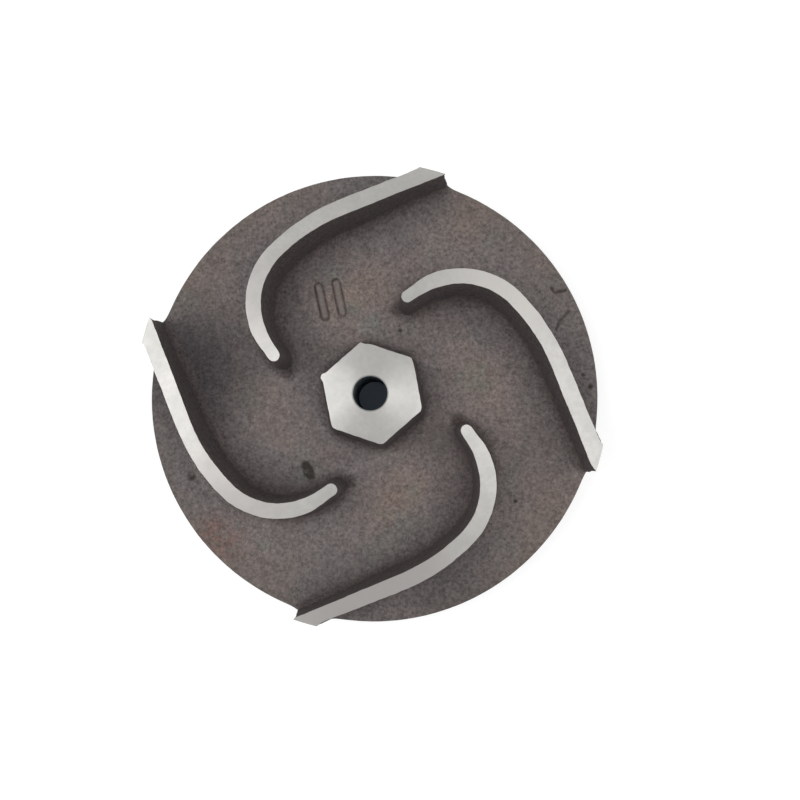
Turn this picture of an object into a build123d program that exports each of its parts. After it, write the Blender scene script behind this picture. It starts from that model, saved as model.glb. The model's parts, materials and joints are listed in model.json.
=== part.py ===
"""Semi-open pump impeller: one iron casting, turned where it runs against the casing.

A back shroud carries four backward-curved vanes and a hexagonal wrenching hub,
and a threaded bore runs through the middle. Millimetres. The axis is Z, the
origin is the middle of the rear hub face, and the vanes stand towards +Z.
"""
import os
from math import isclose, radians, tan

from build123d import *

# Back shroud
outer_diameter = 140.0
shroud_thickness = 6.0
rim_edge_break = 0.5

# Rear hub, whose turned face seats against the shaft shoulder
rear_hub_diameter = 34.0
rear_hub_length = 5.0
rear_hub_root_chamfer = 1.0
rear_hub_edge_chamfer = 0.8

# Bore for an M12 shaft thread, at its tapping size
bore_diameter = 10.2
bore_chamfer = 0.35

# Hexagonal hub, measured at its turned face, which has a faint facet round its corners
hex_across_flats = 27.0
hex_height = 17.0
hex_clocking = 41.25
hex_corner_radius = 1.3
hex_draft = 5.0
hub_facet_diameter = 25.2
hub_facet_angle = 12.0

# Vanes: the middle line leaves the inlet circle, hooks round and runs straight out to the rim
vane_count = 4
vane_inlet_radius = 30.2
vane_inlet_angle = 158.6
vane_inlet_heading = 125.3
vane_lead_in = 4.0
vane_hook_radius = 21.9
vane_hook_turn = 79.6
vane_back_radius = 57.0
vane_back_turn = 23.5
vane_draft = 3.5

# Vane tops: turned to a shallow cone that rises towards the eye of the impeller
vane_height_at_rim = 15.6
vane_height_at_inlet = 19.8
vane_width_at_rim = 4.9

# Casting: root fillets, and what is turned off the rim
root_fillet = 2.8
rim_stock = 8.0

# Levels, radii and slopes that follow from the sizes above
outer_radius = outer_diameter / 2
bore_radius = bore_diameter / 2
rear_hub_radius = rear_hub_diameter / 2
hub_facet_radius = hub_facet_diameter / 2
shroud_back = rear_hub_length
shroud_front = shroud_back + shroud_thickness
hub_face = shroud_front + hex_height
cast_radius = outer_radius + rim_stock
top_slope = (vane_height_at_inlet - vane_height_at_rim) / (outer_radius - vane_inlet_radius)
vane_cast_height = vane_height_at_rim + top_slope * outer_radius
vane_cast_width = vane_width_at_rim - 2 * top_slope * outer_radius * tan(radians(vane_draft))
groove_radius = (hex_across_flats / 2 + vane_inlet_radius) / 2
groove_depth = (groove_radius - hub_facet_radius) * tan(radians(hub_facet_angle))
groove_top = shroud_front + vane_height_at_rim + top_slope * (outer_radius - groove_radius)
vane_nose = Vector(vane_inlet_radius, 0).rotate(Axis.Z, vane_inlet_angle)
vane_heading = Vector(1, 0).rotate(Axis.Z, vane_inlet_heading)


with BuildPart() as impeller:
    # Shroud casting, over size at the rim, as deep as the rear hub and shroud together
    with BuildSketch():
        Circle(cast_radius)
    extrude(amount=shroud_front)

    # Hexagonal hub, drafted down from its face
    with BuildSketch(Plane.XY.offset(hub_face)) as hex_top:
        RegularPolygon(hex_across_flats / 2, 6, major_radius=False, rotation=hex_clocking)
        fillet(hex_top.vertices(), hex_corner_radius)
    extrude(amount=-hex_height, taper=-hex_draft)

    # Vanes: strips along the middle line, drafted down to the shroud
    with BuildSketch(Plane.XY.offset(shroud_front + vane_cast_height)):
        with BuildLine():
            lead = Line(vane_nose, vane_nose + vane_lead_in * vane_heading)
            hook = JernArc(lead @ 1, lead % 1, vane_hook_radius, -vane_hook_turn)
            back = JernArc(hook @ 1, hook % 1, vane_back_radius, -vane_back_turn)
            Line(back @ 1, (back @ 1) + cast_radius * (back % 1))
            offset(amount=vane_cast_width / 2, side=Side.BOTH)
        strip = make_face()
        for number in range(1, vane_count):
            add(strip.rotate(Axis.Z, number * 360 / vane_count))
    extrude(amount=-vane_cast_height, taper=-vane_draft)
    with BuildSketch():
        Circle(cast_radius)
    extrude(amount=shroud_front + vane_cast_height, mode=Mode.INTERSECT)

    # Root fillets along everything that stands on the shroud
    rear_face, shroud_floor, *turned_tops = impeller.faces().filter_by(Plane.XY).sort_by(Axis.Z)
    floor_arcs = shroud_floor.edges().filter_by(GeomType.CIRCLE)
    cast_rim = floor_arcs.filter_by(lambda arc: isclose(arc.radius, cast_radius, rel_tol=0.001))
    fillet(shroud_floor.edges() - cast_rim, root_fillet)

    # Turning and drilling: only what lies inside this section of revolution is left
    with BuildSketch(Plane.XZ) as turned:
        with BuildLine():
            Polyline(
                (bore_radius, 0),
                (rear_hub_radius, 0),
                (rear_hub_radius, shroud_back),
                (outer_radius, shroud_back),
                (outer_radius, shroud_front + vane_height_at_rim),
                (groove_radius, groove_top),
                (groove_radius, hub_face - groove_depth),
                (hub_facet_radius, hub_face),
                (bore_radius, hub_face),
                close=True,
            )
        make_face()
        rear_hub_edge, rear_hub_root = turned.vertices().group_by(Axis.X)[2].sort_by(Axis.Y)
        rim_back_edge = turned.vertices().group_by(Axis.X)[-1].sort_by(Axis.Y)[0]
        bore_edges = turned.vertices().group_by(Axis.X)[0]
        chamfer(rear_hub_edge, rear_hub_edge_chamfer)
        chamfer(rear_hub_root, rear_hub_root_chamfer)
        chamfer(rim_back_edge, rim_edge_break)
        chamfer(bore_edges, bore_chamfer)
    revolve(axis=Axis.Z, mode=Mode.INTERSECT)

impeller.part.label = "impeller"

os.makedirs("parts", exist_ok=True)
export_step(impeller.part, "parts/impeller.step")
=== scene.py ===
"""Cast-iron pump impeller: sand-cast skin, turned faces, tapped bore and small casting marks."""
import json
from math import cos, hypot, pi, radians, sin, tan

import bmesh
import bpy
from mathutils import Matrix, Vector, noise
from mathutils.bvhtree import BVHTree

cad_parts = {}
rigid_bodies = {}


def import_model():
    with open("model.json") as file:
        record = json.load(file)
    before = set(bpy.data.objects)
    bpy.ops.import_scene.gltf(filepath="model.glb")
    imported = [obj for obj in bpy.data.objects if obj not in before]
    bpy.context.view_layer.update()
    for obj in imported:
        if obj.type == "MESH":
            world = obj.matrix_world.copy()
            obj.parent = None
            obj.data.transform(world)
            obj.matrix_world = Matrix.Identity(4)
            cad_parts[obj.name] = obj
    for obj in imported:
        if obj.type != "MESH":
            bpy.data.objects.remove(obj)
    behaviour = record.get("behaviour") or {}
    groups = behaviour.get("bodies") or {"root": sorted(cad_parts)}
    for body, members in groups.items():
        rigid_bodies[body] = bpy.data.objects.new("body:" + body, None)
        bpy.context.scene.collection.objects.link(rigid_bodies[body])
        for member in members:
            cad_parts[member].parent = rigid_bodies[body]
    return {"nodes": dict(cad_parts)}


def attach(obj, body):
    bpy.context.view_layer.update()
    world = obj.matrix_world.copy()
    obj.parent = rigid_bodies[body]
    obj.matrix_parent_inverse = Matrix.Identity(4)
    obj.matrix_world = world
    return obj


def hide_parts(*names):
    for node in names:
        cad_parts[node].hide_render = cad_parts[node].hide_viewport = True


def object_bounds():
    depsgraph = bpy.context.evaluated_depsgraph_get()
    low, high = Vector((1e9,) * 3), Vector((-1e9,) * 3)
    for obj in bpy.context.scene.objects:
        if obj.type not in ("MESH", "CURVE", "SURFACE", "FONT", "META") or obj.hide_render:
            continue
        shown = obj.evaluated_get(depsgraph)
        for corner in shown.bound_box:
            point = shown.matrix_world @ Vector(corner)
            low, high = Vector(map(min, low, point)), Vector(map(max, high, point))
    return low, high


for leftover in list(bpy.data.objects):
    bpy.data.objects.remove(leftover)
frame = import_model()
cad_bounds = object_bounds()

MM = 0.001

# Sizes of the turned faces, in millimetres, as are all sizes and places down to the camera's
TOP = cad_bounds[1].z / MM
RIM_RADIUS = round(cad_bounds[1].x / MM, 3)
RIM_BACK_EDGE = 0.5
SHROUD_BACK = 5.0
SHROUD_FRONT = 11.0
REAR_HUB_RADIUS = 17.0
REAR_HUB_EDGE = 0.8
REAR_HUB_ROOT = 1.0
HUB_FACE = 28.0
HUB_FACET_RADIUS = 12.6
HUB_FACET_SLOPE = tan(radians(12.0))
BORE_RADIUS = 5.1
BORE_EDGE = 0.35
# Where the cone of the vane tops ends and the cone round the hub's corners begins, in the air between them
GROOVE_RADIUS = 21.85
LATHE_STEPS = 240

# Vanes: their noses are at one radius, and their tops rise from the rim towards them
VANE_COUNT = 4
NOSE_ANGLE = 68.2
NOSE_RADIUS = 30.2
VANE_TOP_AT_RIM = 26.6
VANE_TOP_RISE = 4.2
VANE_TOP_SLOPE = VANE_TOP_RISE / (RIM_RADIUS - NOSE_RADIUS)

# Thread in the bore, tapped from the rear face and stopped short of the hub face
THREAD_MAJOR_RADIUS = 6.0
THREAD_PITCH = 1.75
THREAD_CUT = 1.3
THREAD_TOP = 25.5
THREAD_RUN_IN = 2.0
THREAD_STEPS_PER_TURN = 32

# Machining stock on the rough casting, and the size of the mesh that carries its sand grain
STOCK = 1.5
GRAIN_CELL = 0.68
# Swells, ripples and grain of the cast skin: height, size, and where in the noise each is taken
SKIN_WAVES = ((0.16, 15.0, (0, 0, 0)), (0.09, 4.2, (31, 0, 0)), (0.10, 1.7, (0, 57, 0)))

# Raised tally bars on the shroud floor, each with a shallow moat that the pattern left round it
TALLY_BARS = (((-17.4, 34.6), (-15.3, 25.2)), ((-11.9, 35.8), (-9.8, 26.4)))
TALLY_WIDTH = 1.7
TALLY_HEIGHT = 0.5
TALLY_BLEND = 0.3
MOAT_DEPTH = 0.3
MOAT_DISTANCE = 1.3
MOAT_REACH = 0.5

# Faults in the shroud floor: an oval pit, a hooked fold, a long crease, and pinholes (x, y, radius)
OVAL_PIT = (-20.4, -23.4)
OVAL_PIT_HEADING = radians(-63)
OVAL_PIT_RADII = (3.7, 1.8)
OVAL_PIT_DEPTH = 0.6
FOLD = ((55.8, 34.0), (57.0, 32.5), (60.3, 33.2))
FOLD_DEPTH = 0.4
FOLD_REACH = 0.9
CREASE = ((61.3, 26.5), (58.4, 23.6), (57.2, 20.8))
CREASE_DEPTH = 0.3
CREASE_REACH = 0.8
PINHOLES = ((8.4, 20.6, 1.1), (-57.0, -25.3, 2.2), (44.2, -32.8, 0.9), (65.5, 6.5, 0.8), (67.7, 2.8, 1.2))
PINHOLE_DEPTH = 0.5
# How far above or below the floor the skin still belongs to it, and how far round the marks the mesh is finer
FLOOR_BAND = 1.5
MARK_MARGIN = 1.5
OVAL_PIT_SURROUND = 5.1
PINHOLE_MARGIN = 0.7
# How strongly a mark's depth is darkened, as soot and as painted shade in its hollow, and blasting rubs its
# height, for each millimetre
SOOT_AND_SHADE_PER_MM = 2.2
RUBBED_PER_MM = 2.5
RUBBED_FROM = 0.2
RUBBED_MOST = 0.6

# The cast hexagon sits a little off the turned axis; one corner has a burr and one is blunt.
# All that stands on the shroud within HUB_ZONE of the axis is the hub.
HUB_ZONE = 20.0
HUB_OFFSET = Vector((0.5, 0.15, 0))
HUB_OFFSET_RISE = 5.0
HUB_CORNER_BAND = 4.0
BURR = (-13.9, 4.6)
BURR_HEIGHT = 0.9
BURR_REACH = 1.6
BLUNT_CORNER = (-2.1, 15.3)
BLUNT_DEPTH = 0.5
BLUNT_REACH = 1.8

# The vanes thin towards their noses
NOSE_THINNING = 0.45
NOSE_REACH = 11
# How much thinner than drawn each vane came out at its tip: angle round the axis, and depth off each wall.
# The last one is thicker.
TIP_THINNING = ((76.6, 0.15), (166.6, 0.2), (256.6, 0.45), (346.6, -0.15))
TIP_REACH = 24
# One vane was cast a little short of the rim, down to a sloping foot
SHORT_VANE_ANGLES = (64.0, 84.0)
SHORT_VANE_RADIUS = 69.2
SHORT_VANE_FOOT = 13.0

# How walls shelter the skin, which sets where shade is painted on it: over the pockets between the vanes, and
# close along the walls' feet
POCKET_SHELTER = {"elevation": radians(40), "reach": 20.0, "smoothings": 6}
FOOT_SHELTER = {"elevation": radians(12), "reach": 3.6, "smoothings": 3}

# Darker patches of the floor (place, reach, strength), of which the first is a painted shadow beside the left
# vane's wall, and a dark spot off each vane's nose, partly dark residue in its fillet and partly painted
# shade
DARK_FLOOR_PATCHES = (((-55.0, 9.0), 29.0, 0.9), ((26.0, -62.0), 24.0, 0.5))
NOSE_DARK_SPOT_ANGLE = 74.4
NOSE_DARK_SPOT_RADIUS = 27.7
NOSE_DARK_SPOT_REACH = 5.0
NOSE_DARK_SPOT_STRENGTH = 0.5
RUST_PATCH = (-48.3, -43.5)
# The turned tops are painted darker round these places, as painted shade on their sheen: place, full within,
# gone at, and strength
SHEEN_SHADE_PATCHES = (((0.0, -56.0), 12, 36, 0.8), ((-34.1, 27.3), 5, 22, 0.5), ((-41.1, -28.2), 6, 24, 0.75))
# One stretch of vane top is painted lighter, as a painted highlight on its sheen
PAINTED_HIGHLIGHT_STRETCH = (38.8, 30.1)

# Camera, over the eye of the impeller
CAMERA_EYE = Vector((14.71, -13.35, 280.0))
CAMERA_AIM = Vector((8.38, -1.25, 11.0))
CAMERA_LENS = 38.66
CAMERA_SENSOR = 36

# Square lamps: name, place and side in metres, and the level to which they light a matt surface
LAMPS = (("left_softbox", (-0.41, 0.03, 0.63), 0.50, 0.31),
         ("right_softbox", (0.45, -0.06, 0.60), 0.50, 0.20))
ROOM_LEVEL = 0.64
FLOOR_HALF_SIDE = 1.5
FLOOR_GLOW = 0.62
BORE_GLOW = 0.0136


def section_of_turning():
    """Radius and height of each corner that the lathe leaves, from the bore's rear mouth to its front one."""
    cone_top_radius = RIM_RADIUS - (TOP - VANE_TOP_AT_RIM) / VANE_TOP_SLOPE
    hub_groove = HUB_FACE - (GROOVE_RADIUS - HUB_FACET_RADIUS) * HUB_FACET_SLOPE
    return [
        (BORE_RADIUS, BORE_EDGE),
        (BORE_RADIUS + BORE_EDGE, 0),
        (REAR_HUB_RADIUS - REAR_HUB_EDGE, 0),
        (REAR_HUB_RADIUS, REAR_HUB_EDGE),
        (REAR_HUB_RADIUS, SHROUD_BACK - REAR_HUB_ROOT),
        (REAR_HUB_RADIUS + REAR_HUB_ROOT, SHROUD_BACK),
        (RIM_RADIUS - RIM_BACK_EDGE, SHROUD_BACK),
        (RIM_RADIUS, SHROUD_BACK + RIM_BACK_EDGE),
        (RIM_RADIUS, VANE_TOP_AT_RIM),
        (cone_top_radius, TOP),
        (GROOVE_RADIUS, TOP),
        (GROOVE_RADIUS, hub_groove),
        (HUB_FACET_RADIUS, HUB_FACE),
        (BORE_RADIUS + BORE_EDGE, HUB_FACE),
        (BORE_RADIUS, HUB_FACE - BORE_EDGE),
    ]


def object_from(name, mesh, *materials):
    """Makes an object of a bmesh, which it uses up."""
    data = bpy.data.meshes.new(name)
    mesh.to_mesh(data)
    mesh.free()
    for material in materials:
        data.materials.append(material)
    made = bpy.data.objects.new(name, data)
    bpy.context.scene.collection.objects.link(made)
    return made


def baked(source):
    """The mesh that an object's modifiers give, as a bmesh; the object is then removed."""
    result = bmesh.new()
    result.from_object(source, bpy.context.evaluated_depsgraph_get())
    bpy.data.objects.remove(source)
    return result


def cut(target, tool, operation):
    """Applies a Boolean of tool to target and returns the mesh that is left."""
    modifier = target.modifiers.new("cut", "BOOLEAN")
    modifier.operation = operation
    modifier.object = tool
    modifier.solver = "MANIFOLD"
    modifier.material_mode = "TRANSFER"
    result = baked(target)
    bpy.data.objects.remove(tool)
    return result


def spun(profile, turns, steps, rise=0.0):
    """Sweeps a closed loop of (radius, height) corners round the axis from +X, climbing by rise in all."""
    mesh = bmesh.new()
    corners = [mesh.verts.new((r * MM, 0, z * MM)) for r, z in profile]
    edges = [mesh.edges.new(pair) for pair in zip(corners, corners[1:] + corners[:1])]
    closed = turns == 1
    if not closed:
        mesh.faces.new(corners)
    swept = bmesh.ops.spin(mesh, geom=edges, axis=(0, 0, 1), cent=(0, 0, 0), angle=2 * pi * turns,
                           dvec=(0, 0, rise * MM / steps), steps=steps, use_merge=closed)
    if not closed:
        last_loop = [g for g in swept["geom_last"] if isinstance(g, bmesh.types.BMEdge)]
        bmesh.ops.contextual_create(mesh, geom=last_loop)
    bmesh.ops.remove_doubles(mesh, verts=mesh.verts, dist=0.0001 * MM)
    bmesh.ops.recalc_face_normals(mesh, faces=mesh.faces)
    return mesh


def rough_casting():
    """The casting before turning: the drawn impeller with stock on every face that the lathe takes."""
    mesh = bmesh.new()
    mesh.from_mesh(frame["nodes"]["impeller"].data)
    bmesh.ops.remove_doubles(mesh, verts=mesh.verts, dist=0.001 * MM)

    well_above_floor = SHROUD_FRONT + 5
    tops = [f for f in mesh.faces if f.normal.z > 0.9 and f.calc_center_median().z > well_above_floor * MM]
    raised = bmesh.ops.extrude_face_region(mesh, geom=tops)["geom"]
    bmesh.ops.delete(mesh, geom=tops, context="FACES")
    raised_verts = [v for v in raised if isinstance(v, bmesh.types.BMVert)]
    bmesh.ops.translate(mesh, verts=raised_verts, vec=(0, 0, STOCK * MM))

    # The bore and the rim, with the broken edges beside them
    bore = [v for v in mesh.verts if v.co.xy.length < (BORE_RADIUS + 1) * MM]
    rim = [v for v in mesh.verts if v.co.xy.length > (RIM_RADIUS - 0.6) * MM]
    growth = 1 + STOCK / RIM_RADIUS
    bmesh.ops.scale(mesh, vec=(0.5, 0.5, 1), verts=bore)
    bmesh.ops.scale(mesh, vec=(growth, growth, 1), verts=rim)

    # Rear hub and back, which are turned from one flat block of iron
    back = [v for v in mesh.verts if v.co.z < (SHROUD_BACK + 1.1) * MM]
    for vert in back:
        vert.co.z = -STOCK * MM
    return mesh


def clamped(share):
    """A share kept between 0 and 1."""
    return min(1.0, max(0.0, share))


def hump(distance, reach):
    """1 at no distance, falling smoothly to 0 at reach."""
    return max(0.0, 1 - (distance / reach) ** 2) ** 2


def plateau(distance, edge, blend):
    """1 well inside edge, 0 well outside it, smooth over blend on each side."""
    t = clamped((edge + blend - distance) / (2 * blend))
    return t * t * (3 - 2 * t)


def at_angle(radius, angle):
    """The point at a radius and an angle in degrees round the axis."""
    return radius * cos(radians(angle)), radius * sin(radians(angle))


def from_point(x, y, point):
    """Distance between two points."""
    return hypot(x - point[0], y - point[1])


def from_segment(x, y, start, end):
    """Distance of a point from a line between two ends."""
    (ax, ay), (bx, by) = start, end
    along = clamped(((x - ax) * (bx - ax) + (y - ay) * (by - ay)) / ((bx - ax) ** 2 + (by - ay) ** 2))
    return hypot(x - ax - along * (bx - ax), y - ay - along * (by - ay))


def from_run(x, y, run):
    """Distance of a point from a run of straight lines."""
    return min(from_segment(x, y, start, end) for start, end in zip(run, run[1:]))


def from_oval(x, y, centre, heading, radii):
    """Distance from an oval's centre as a share of its radius in that direction."""
    dx, dy = x - centre[0], y - centre[1]
    along = dx * cos(heading) + dy * sin(heading)
    across = dy * cos(heading) - dx * sin(heading)
    return hypot(along / radii[0], across / radii[1])


def marks(x, y):
    """Height of the casting marks over the shroud floor."""
    height = 0.0
    for bar in TALLY_BARS:
        away = from_segment(x, y, *bar)
        height += TALLY_HEIGHT * plateau(away, TALLY_WIDTH / 2, TALLY_BLEND)
        height -= MOAT_DEPTH * hump(away - MOAT_DISTANCE, MOAT_REACH)
    # The pit has soft edges, and its bottom is a little shallower in the middle
    oval = from_oval(x, y, OVAL_PIT, OVAL_PIT_HEADING, OVAL_PIT_RADII)
    height -= OVAL_PIT_DEPTH * plateau(oval, 0.85, 0.3) * (0.7 + 0.3 * oval)
    height -= FOLD_DEPTH * hump(from_run(x, y, FOLD), FOLD_REACH)
    height -= CREASE_DEPTH * hump(from_run(x, y, CREASE), CREASE_REACH)
    for px, py, radius in PINHOLES:
        height -= PINHOLE_DEPTH * hump(from_point(x, y, (px, py)), radius)
    return height


def near_marks(x, y):
    """Whether a point of the shroud floor is on or beside a casting mark."""
    return (any(from_segment(x, y, *bar) < TALLY_WIDTH / 2 + MARK_MARGIN for bar in TALLY_BARS)
            or from_point(x, y, OVAL_PIT) < OVAL_PIT_SURROUND
            or min(from_run(x, y, FOLD), from_run(x, y, CREASE)) < MARK_MARGIN
            or any(from_point(x, y, (px, py)) < radius + PINHOLE_MARGIN for px, py, radius in PINHOLES))


def relief(point, normal):
    """How far the sand-cast skin stands off its true surface."""
    x, y, z = point
    height = sum(rise * noise.noise(point / size + Vector(shift)) for rise, size, shift in SKIN_WAVES)
    on_floor = abs(z - SHROUD_FRONT) < FLOOR_BAND and normal.z > 0.7
    on_vane = z > SHROUD_FRONT + 2 and hypot(x, y) > HUB_ZONE
    if on_floor:
        height += marks(x, y)
    if z > HUB_FACE - HUB_CORNER_BAND:
        height += BURR_HEIGHT * hump(from_point(x, y, BURR), BURR_REACH)
        height -= BLUNT_DEPTH * hump(from_point(x, y, BLUNT_CORNER), BLUNT_REACH)
    if on_vane:
        for number in range(VANE_COUNT):
            nose = at_angle(NOSE_RADIUS, NOSE_ANGLE + number * 360 / VANE_COUNT)
            height -= NOSE_THINNING * hump(from_point(x, y, nose), NOSE_REACH)
        upright = max(0.0, 1 - abs(normal.z))
        for angle, thinning in TIP_THINNING:
            height -= thinning * upright * hump(from_point(x, y, at_angle(RIM_RADIUS, angle)), TIP_REACH)
    return height


def sand_cast(mesh):
    """Gives the rough casting its sand grain, swells, marks and knocked corners."""
    blank = object_from("blank", mesh)
    grid = blank.modifiers.new("grid", "REMESH")
    grid.mode = "VOXEL"
    grid.voxel_size = GRAIN_CELL * MM
    skin = baked(blank)

    marked = [f for f in skin.faces if abs(f.calc_center_median().z / MM - SHROUD_FRONT) < 0.5
              and near_marks(*(f.calc_center_median().xy / MM))]
    edges = list({e for f in marked for e in f.edges})
    bmesh.ops.subdivide_edges(skin, edges=edges, cuts=2, use_grid_fill=True)
    skin.normal_update()
    moves = [(v, v.normal * relief(v.co / MM, v.normal) * MM) for v in skin.verts]
    for vert, move in moves:
        vert.co += move
        if vert.co.xy.length < HUB_ZONE * MM and vert.co.z > SHROUD_FRONT * MM:
            vert.co += HUB_OFFSET * MM * min(1.0, (vert.co.z / MM - SHROUD_FRONT) / HUB_OFFSET_RISE)
    return skin


def thread_tap():
    """The ridge of metal that a tap takes out of the bore: one V groove wound up from below the rear face."""
    inner = THREAD_MAJOR_RADIUS - THREAD_CUT
    # Just short of half the pitch, so that one turn doesn't touch the next
    half_base = THREAD_PITCH / 2 - 0.02
    half_tip = THREAD_PITCH / 16
    profile = [(inner, -half_base - THREAD_RUN_IN), (THREAD_MAJOR_RADIUS, -half_tip - THREAD_RUN_IN),
               (THREAD_MAJOR_RADIUS, half_tip - THREAD_RUN_IN), (inner, half_base - THREAD_RUN_IN)]
    climb = THREAD_TOP + THREAD_RUN_IN
    turns = climb / THREAD_PITCH
    return spun(profile, turns, int(turns * THREAD_STEPS_PER_TURN), rise=climb)


def short_cast_end():
    """The space at one vane's tip that the iron didn't fill: a wedge that ends past the rim and the top."""
    first, last = SHORT_VANE_ANGLES
    over_top = VANE_TOP_AT_RIM + 1
    profile = [(RIM_RADIUS + 0.1, SHORT_VANE_FOOT), (RIM_RADIUS + 2, over_top), (SHORT_VANE_RADIUS, over_top)]
    gap = spun(profile, (last - first) / 360, 12)
    bmesh.ops.rotate(gap, verts=gap.verts, matrix=Matrix.Rotation(radians(first), 3, "Z"))
    return gap


def machined(skin, cast, turned, bored):
    """Turns the rough casting to size and taps its bore; the three materials are its finishes."""
    casting = object_from("casting", skin, cast)
    envelope = object_from("envelope", spun(section_of_turning(), 1, LATHE_STEPS), turned)
    lathed = object_from("lathed", cut(casting, envelope, "INTERSECT"), cast, turned)
    shortened = cut(lathed, object_from("gap", short_cast_end(), cast), "DIFFERENCE")
    shortened = object_from("shortened", shortened, cast, turned)
    tapped = cut(shortened, object_from("tap", thread_tap(), bored), "DIFFERENCE")
    # The walls of the bore between the thread's turns are as dark as the thread
    for face in tapped.faces:
        face.smooth = True
        if face.calc_center_median().xy.length < (BORE_RADIUS + 0.02) * MM:
            face.material_index = 2
    record_wear_and_shade(tapped)
    mark_sharp_edges(tapped)
    return object_from("impeller_casting", tapped, cast, turned, bored)


def shelter(mesh, elevation, reach, smoothings):
    """For each vertex, the share of the directions round it at an elevation that walls within reach block."""
    directions = 16
    off_surface = 0.4 * MM
    tree = BVHTree.FromBMesh(mesh)
    rays = [Vector((cos(a) * cos(elevation), sin(a) * cos(elevation), sin(elevation)))
            for a in (2 * pi * i / directions for i in range(directions))]
    shares = []
    for vert in mesh.verts:
        blocked = 0
        if any(face.material_index == 0 for face in vert.link_faces):
            start = vert.co + vert.normal * off_surface
            blocked = sum(tree.ray_cast(start, ray, reach * MM)[0] is not None for ray in rays)
        shares.append(blocked / directions)
    mesh.verts.index_update()
    beside = [[e.other_vert(v).index for e in v.link_edges] for v in mesh.verts]
    for smoothing in range(smoothings):
        shares = [(share + sum(shares[i] for i in others)) / (1 + len(others))
                  for share, others in zip(shares, beside)]
    return shares


def record_wear_and_shade(mesh):
    """Keeps on each vertex how much soot and painted shade its mark's hollow gets, how rubbed it is, how
    sheltered it is, which sets the painted shade in the pockets, and how much painted shade it gets by a
    wall's foot and off a nose.
    """
    soot_and_shade = mesh.verts.layers.float.new("soot_and_shade")
    rubbed = mesh.verts.layers.float.new("rubbed")
    sheltered = mesh.verts.layers.float.new("sheltered")
    foot_shade = mesh.verts.layers.float.new("foot_shade")
    in_pockets = shelter(mesh, **POCKET_SHELTER)
    by_walls = shelter(mesh, **FOOT_SHELTER)
    spot_angles = [NOSE_DARK_SPOT_ANGLE + number * 360 / VANE_COUNT for number in range(VANE_COUNT)]
    nose_dark_spots = [at_angle(NOSE_DARK_SPOT_RADIUS, angle) for angle in spot_angles]
    for vert, pocket_share, wall_share in zip(mesh.verts, in_pockets, by_walls):
        x, y, z = vert.co / MM
        vert[sheltered] = pocket_share
        vert[foot_shade] = wall_share
        below_vane_tops = z < SHROUD_FRONT + 4
        if below_vane_tops:
            # Off each nose the skin is darkened, partly as dark residue in the fillet and partly as painted
            # shade
            for spot in nose_dark_spots:
                nose_darkening = NOSE_DARK_SPOT_STRENGTH * hump(from_point(x, y, spot), NOSE_DARK_SPOT_REACH)
                vert[foot_shade] = max(vert[foot_shade], nose_darkening)
        if abs(z - SHROUD_FRONT) < FLOOR_BAND and near_marks(x, y):
            height = marks(x, y)
            vert[soot_and_shade] = clamped(-SOOT_AND_SHADE_PER_MM * height)
            vert[rubbed] = RUBBED_MOST * clamped(RUBBED_PER_MM * height - RUBBED_FROM)


def mark_sharp_edges(mesh):
    """Makes edges sharp where two finishes meet, and where faces turn by more than their finish would."""
    for edge in mesh.edges:
        if len(edge.link_faces) == 2:
            one, other = edge.link_faces
            limit = radians(50 if one.material_index == 0 else 25)
            same_finish = one.material_index == other.material_index
            edge.smooth = same_finish and one.normal.angle(other.normal, 0) < limit


def colour(code):
    """Linear colour of an sRGB hex code."""
    parts = [int(code[i:i + 2], 16) / 255 for i in (0, 2, 4)]
    return tuple(c / 12.92 if c <= 0.04045 else ((c + 0.055) / 1.055) ** 2.4 for c in parts) + (1.0,)


def per_mm(size):
    """Scale of a pattern whose features are size millimetres across."""
    return 1 / (size * MM)


def node(tree, kind, inputs=None, **settings):
    """Adds a shader node; each input takes a value or another node's output."""
    made = tree.nodes.new("ShaderNode" + kind)
    for name, value in settings.items():
        setattr(made, name, value)
    for socket, value in (inputs or {}).items():
        if isinstance(value, bpy.types.NodeSocket):
            tree.links.new(value, made.inputs[socket])
        else:
            made.inputs[socket].default_value = value
    return made


def new_material(name):
    """A material with an empty node tree, and that tree."""
    material = bpy.data.materials.new(name)
    material.use_nodes = True
    material.node_tree.nodes.clear()
    return material, material.node_tree


def spots(tree, place, size, low, high, detail=2.0, most=1.0):
    """0 to most where noise of that size in millimetres goes from low to high."""
    pattern = node(tree, "TexNoise", {"Vector": place, "Scale": per_mm(size), "Detail": detail})
    span = {"Value": pattern.outputs["Fac"], "From Min": low, "From Max": high, "To Max": most}
    return node(tree, "MapRange", span, interpolation_type="SMOOTHSTEP").outputs["Result"]


def near(tree, place, centre, full, reach, most=1.0):
    """The share most within full millimetres of a point, falling smoothly to 0 at reach."""
    away = node(tree, "VectorMath", {0: place, 1: Vector(centre) * MM}, operation="DISTANCE")
    span = {"Value": away.outputs["Value"], "From Min": reach * MM, "From Max": full * MM, "To Max": most}
    return node(tree, "MapRange", span, interpolation_type="SMOOTHSTEP").outputs["Result"]


def layered(tree, tone, layers):
    """Lays colours over a tone one after another, each by its own amount."""
    for amount, code in layers:
        tone = node(tree, "Mix", {0: amount, 6: tone, 7: colour(code)}, data_type="RGBA").outputs[2]
    return tone


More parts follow.
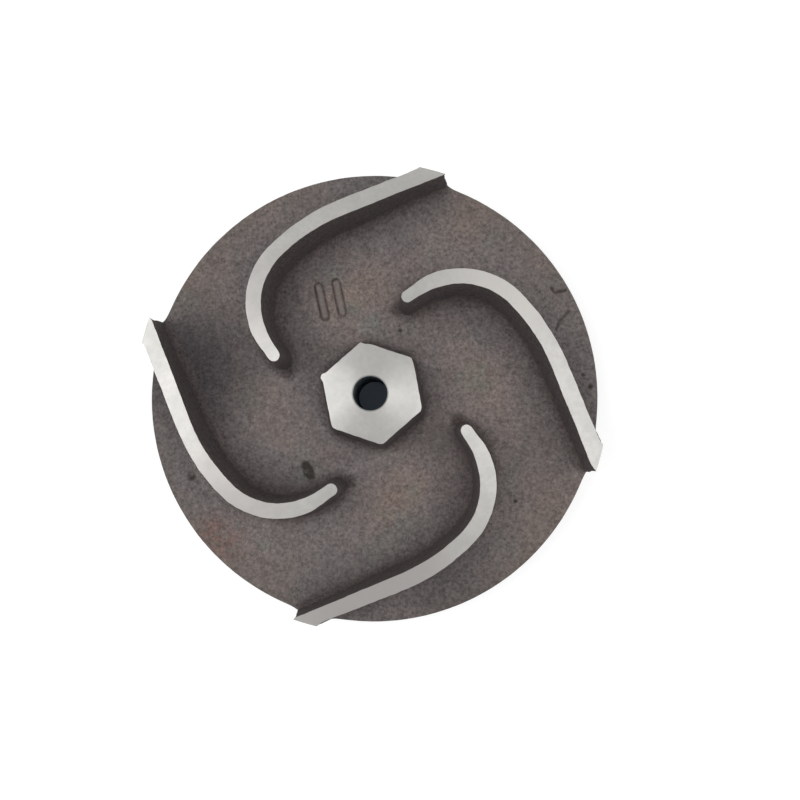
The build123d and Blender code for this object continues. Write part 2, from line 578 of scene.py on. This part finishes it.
def oxide(tree, place):
    """Oxide of the cast skin: brown-grey that wanders over centimetres, stained, and darker to the rim."""
    wander = spots(tree, place, 24, 0.35, 0.65, 3)
    tone = layered(tree, colour("776e6b"), [(wander, "80736d")])
    radius = node(tree, "VectorMath", {0: place}, operation="LENGTH").outputs["Value"]
    outer = {"Value": radius, "From Min": 46 * MM, "From Max": RIM_RADIUS * MM, "To Max": 0.38}
    rust = {0: near(tree, place, (*RUST_PATCH, SHROUD_FRONT), 2, 12, 0.5),
            1: spots(tree, place, 3.5, 0.3, 0.65, 4)}
    return layered(tree, tone, [
        # Stains of centimetres, greenish from burnt sand and red-brown, and fainter spots of millimetres
        (spots(tree, place, 15, 0.56, 0.76, 3), "74726a"),
        (spots(tree, place, 11, 0.58, 0.80, 4), "7b6b65"),
        (spots(tree, place, 4.5, 0.45, 0.75, 3, 0.3), "7c6e67"),
        (node(tree, "MapRange", outer).outputs["Result"], "484441"),
        # One patch near the rim has begun to rust
        (node(tree, "Math", rust, operation="MULTIPLY").outputs[0], "794f43")])


def painted_shade_layers(tree, place):
    """Painted shade where walls shelter the skin, and darker patches: a bluer tint and darkening in the
    pockets between the vanes, the patches, darkening along the walls' feet and off the noses (off the noses
    partly dark residue too), and the upright walls painted darker.
    """
    hidden = node(tree, "Attribute", attribute_name="sheltered").outputs["Fac"]
    # Where walls shelter the skin it is painted bluer, as the cooler shade there
    shade_tint = node(tree, "MapRange", {"Value": hidden, "From Min": 0.06, "From Max": 0.30, "To Max": 0.35})
    layers = [(shade_tint.outputs["Result"], "6e6d71")]
    # Darker patches of the floor; the first is a painted shadow beside the left vane's wall
    for centre, reach, strength in DARK_FLOOR_PATCHES:
        layers.append((near(tree, place, (*centre, SHROUD_FRONT), 4, reach, strength), "454143"))

    # The painted shade in the pockets and along the walls' feet has ragged edges, so noise is added before
    # each is cut off
    # Along the walls' feet the skin is painted darker, as the shade there
    foot_shade = node(tree, "Attribute", attribute_name="foot_shade").outputs["Fac"]
    ragged_pocket_shade = {0: hidden, 1: spots(tree, place, 6, 0.3, 0.7, 4, 0.04)}
    ragged_foot_shade = {0: foot_shade, 1: spots(tree, place, 3, 0.3, 0.7, 3, 0.06)}
    for ragged, high, most, code in ((ragged_pocket_shade, 0.75, 0.6, "585255"), (ragged_foot_shade, 0.50, 0.9, "524a49")):
        edge = node(tree, "Math", ragged, operation="ADD").outputs[0]
        span = {"Value": edge, "From Min": 0.20, "From Max": high, "To Max": most}
        layers.append((node(tree, "MapRange", span, interpolation_type="SMOOTHSTEP").outputs["Result"], code))

    # Upright walls are painted darker, as the shade they stand in
    facing = node(tree, "SeparateXYZ", {0: node(tree, "NewGeometry").outputs["Normal"]}).outputs["Z"]
    wall_shade = node(tree, "MapRange", {"Value": facing, "From Min": 0.65, "From Max": 0.15, "To Max": 0.85},
                 interpolation_type="SMOOTHSTEP")
    return layers + [(wall_shade.outputs["Result"], "4e4847")]


def sand_cast_iron():
    """Grey iron as it left the sand mould: matt brown-grey oxide with the sand's grain pressed into it."""
    material, tree = new_material("sand_cast_iron")
    place = node(tree, "TexCoord").outputs["Object"]
    tone = layered(tree, oxide(tree, place), painted_shade_layers(tree, place))

    # The sand's print: clumps of a few millimetres, and grains. Real ones are about 0.3 mm, too fine to show,
    # so they are drawn about a millimetre across here and in the relief below
    clumps = node(tree, "TexNoise", {"Vector": place, "Scale": per_mm(2.6), "Detail": 4.0, "Roughness": 0.7})
    clump = node(tree, "MapRange", {"Value": clumps.outputs["Fac"], "From Min": 0.25, "From Max": 0.75})
    sand = node(tree, "TexNoise", {"Vector": place, "Scale": per_mm(0.95), "Detail": 3.0, "Roughness": 0.7})
    grain = node(tree, "MapRange", {"Value": sand.outputs["Fac"], "From Min": 0.28, "From Max": 0.72})
    for pattern, dark, pale in ((clump, (0.88, 0.88, 0.89, 1), (1.12, 1.12, 1.11, 1)),
                                (grain, (0.5, 0.5, 0.51, 1), (1.5, 1.49, 1.47, 1))):
        shade = node(tree, "Mix", {0: pattern.outputs["Result"], 6: dark, 7: pale}, data_type="RGBA")
        tone = node(tree, "Mix", {0: 1.0, 6: tone, 7: shade.outputs[2]}, data_type="RGBA",
                    blend_type="MULTIPLY").outputs[2]

    # Soot and painted shade in the casting marks' hollows, and their tops rubbed paler
    hollow_darkening = {0: node(tree, "Attribute", attribute_name="soot_and_shade").outputs["Fac"],
            1: spots(tree, place, 1.6, 0.15, 0.45)}
    tone = layered(tree, tone, [
        (node(tree, "Math", hollow_darkening, operation="MULTIPLY").outputs[0], "38332f"),
        (node(tree, "Attribute", attribute_name="rubbed").outputs["Fac"], "7d7470")])

    # Relief of the grains, a few tenths of a millimetre deep at most
    grains = node(tree, "TexNoise", {"Vector": place, "Scale": per_mm(1.1), "Detail": 4.0, "Roughness": 0.6})
    bump = node(tree, "Bump", {"Height": grains.outputs["Fac"], "Strength": 1.0, "Distance": 0.35 * MM})
    roughness = node(tree, "MapRange", {"Value": clump.outputs["Result"], "To Min": 0.82, "To Max": 0.62})
    shader = node(tree, "BsdfPrincipled", {
        "Base Color": tone, "Metallic": 0.15, "Roughness": roughness.outputs["Result"],
        "Specular IOR Level": 0.3, "Normal": bump.outputs["Normal"]})
    node(tree, "OutputMaterial", {"Surface": shader.outputs[0]})
    return material


def turned_iron():
    """Bright iron fresh from the lathe: fine circular tool marks that spread the light across themselves."""
    material, tree = new_material("turned_iron")
    place = node(tree, "TexCoord").outputs["Object"]
    normal = node(tree, "NewGeometry").outputs["Normal"]

    # The lay runs round the axis; the glints stretch at a right angle to it
    lay = node(tree, "VectorMath", {0: place, 1: (0, 0, 1)}, operation="CROSS_PRODUCT").outputs[0]
    across = node(tree, "VectorMath", {0: lay, 1: normal}, operation="CROSS_PRODUCT").outputs[0]

    # Dulled in patches and fine mottles, painted darker in places as shade on the sheen and lighter along one
    # stretch as a highlight, with the graphite flecks of grey iron, which are drawn at half a millimetre,
    # about twice their real length, to show
    patches = spots(tree, place, 5, 0.3, 0.7, 4)
    layers = [(patches, "b1afac"), (spots(tree, place, 1.3, 0.35, 0.65, 3, 0.4), "a3a19e"),
              (near(tree, place, (*PAINTED_HIGHLIGHT_STRETCH, VANE_TOP_AT_RIM), 6, 26, 0.8), "bfbcb8")]
    # Painted shade on the sheen, round each of these places
    for centre, full, reach, strength in SHEEN_SHADE_PATCHES:
        layers.append((near(tree, place, (*centre, VANE_TOP_AT_RIM), full, reach, strength), "9c9896"))
    layers.append((spots(tree, place, 0.5, 0.66, 0.78, 1, 0.35), "8a8883"))
    tone = layered(tree, colour("a9a8a5"), layers)

    # Feed marks of the tool: rings about a quarter of a millimetre apart, unevenly deep
    flat = node(tree, "VectorMath", {0: place, 1: (1, 1, 0)}, operation="MULTIPLY").outputs[0]
    radius = node(tree, "VectorMath", {0: flat}, operation="LENGTH").outputs["Value"]
    ring = node(tree, "CombineXYZ", {0: radius}).outputs[0]
    rings = node(tree, "TexNoise", {"Vector": ring, "Scale": per_mm(0.25), "Detail": 3.0, "Roughness": 0.7})
    bump = node(tree, "Bump", {"Height": rings.outputs["Fac"], "Strength": 0.5, "Distance": 0.004 * MM})
    roughness = node(tree, "MapRange", {"Value": patches, "To Min": 0.44, "To Max": 0.41})
    shader = node(tree, "BsdfPrincipled", {
        "Base Color": tone, "Metallic": 1.0, "Roughness": roughness.outputs["Result"],
        "Anisotropic": 0.75, "Tangent": across, "Normal": bump.outputs["Normal"]})
    node(tree, "OutputMaterial", {"Surface": shader.outputs[0]})
    return material


def shaded_bore_iron():
    """The tapped bore: cut iron painted dark blue-grey as the shade deep in the hole."""
    material, tree = new_material("shaded_bore_iron")
    place = node(tree, "TexCoord").outputs["Object"]
    film = spots(tree, place, 2.5, 0.3, 0.7, 3)
    tone = layered(tree, colour("2e353a"), [(film, "383f45")])
    roughness = node(tree, "MapRange", {"Value": film, "To Min": 0.6, "To Max": 0.42})
    shader = node(tree, "BsdfPrincipled", {
        "Base Color": tone, "Metallic": 0.6, "Roughness": roughness.outputs["Result"]})
    node(tree, "OutputMaterial", {"Surface": shader.outputs[0]})
    return material


def white_background(tree):
    """1 for the rays that show a background: those from the camera, by a reflection or through glass."""
    path = node(tree, "LightPath").outputs
    shown = path["Is Camera Ray"]
    for ray in ("Is Glossy Ray", "Is Transmission Ray"):
        shown = node(tree, "Math", {0: shown, 1: path[ray]}, operation="MAXIMUM").outputs[0]
    return shown


def studio_floor():
    """A pale floor that shows white and keeps the soft shadow; under the bore it has a dim blue glimmer."""
    material, tree = new_material("studio_floor")
    place = node(tree, "TexCoord").outputs["Object"]
    radius = node(tree, "VectorMath", {0: place}, operation="LENGTH").outputs["Value"]
    open_floor = node(tree, "MapRange", {"Value": radius, "From Min": 50 * MM, "From Max": 72 * MM,
                                         "To Max": FLOOR_GLOW}, interpolation_type="SMOOTHSTEP")
    under_bore = {"centre": (0, 0, 0), "full": 10, "reach": 30}
    glows = {0: open_floor.outputs["Result"], 1: near(tree, place, **under_bore, most=BORE_GLOW)}
    glow = node(tree, "Math", glows, operation="MAXIMUM").outputs[0]
    shown = node(tree, "Math", {0: white_background(tree), 1: glow}, operation="MULTIPLY").outputs[0]
    tint = layered(tree, (1, 1, 1, 1), [(near(tree, place, **under_bore), "afdaff")])
    light = node(tree, "Emission", {"Color": tint, "Strength": shown})
    paint = node(tree, "BsdfDiffuse", {"Color": (0.5, 0.5, 0.5, 1)})
    both = node(tree, "AddShader", {0: paint.outputs[0], 1: light.outputs[0]})
    node(tree, "OutputMaterial", {"Surface": both.outputs[0]})

    mesh = bmesh.new()
    bmesh.ops.create_grid(mesh, x_segments=1, y_segments=1, size=FLOOR_HALF_SIDE)
    floor = object_from("studio_floor", mesh, material)


def surroundings():
    """White surroundings that light the part only at their own level."""
    world = bpy.data.worlds.new("white_room")
    world.use_nodes = True
    tree = world.node_tree
    tree.nodes.clear()
    strength = node(tree, "MapRange", {"Value": white_background(tree), "To Min": ROOM_LEVEL, "To Max": 1.0})
    back = node(tree, "Background", {"Color": (1, 1, 1, 1), "Strength": strength.outputs["Result"]})
    node(tree, "OutputWorld", {"Surface": back.outputs[0]})
    bpy.context.scene.world = world


def softbox(name, place, side, level):
    """A square lamp aimed at the part, which lights a matt surface facing it to level of its colour."""
    lamp = bpy.data.lights.new(name, "AREA")
    lamp.size = side
    lamp.energy = level * pi ** 2 * Vector(place).length ** 2
    lamp_object = bpy.data.objects.new(name, lamp)
    lamp_object.location = place
    lamp_object.rotation_euler = Vector(place).to_track_quat("Z", "Y").to_euler()
    bpy.context.scene.collection.objects.link(lamp_object)


def camera():
    """The camera, looking down from its eye at its aim with +Y up in its frame."""
    eye = CAMERA_EYE * MM
    back = (eye - CAMERA_AIM * MM).normalized()
    right = Vector((0, 1, 0)).cross(back).normalized()
    up = back.cross(right)
    data = bpy.data.cameras.new("camera")
    data.lens = CAMERA_LENS
    data.sensor_width = CAMERA_SENSOR
    data.clip_start = 0.01
    made = bpy.data.objects.new("camera", data)
    made.matrix_world = Matrix.Translation(eye) @ Matrix((right, up, back)).transposed().to_4x4()
    bpy.context.scene.collection.objects.link(made)
    bpy.context.scene.camera = made


def studio():
    """Camera, soft light from both sides, white surroundings and the floor."""
    camera()
    for lamp in LAMPS:
        softbox(*lamp)
    surroundings()
    studio_floor()
    bpy.context.scene.view_settings.view_transform = "Standard"


casting = machined(sand_cast(rough_casting()), sand_cast_iron(), turned_iron(), shaded_bore_iron())
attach(casting, "root")
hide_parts("impeller")
studio()
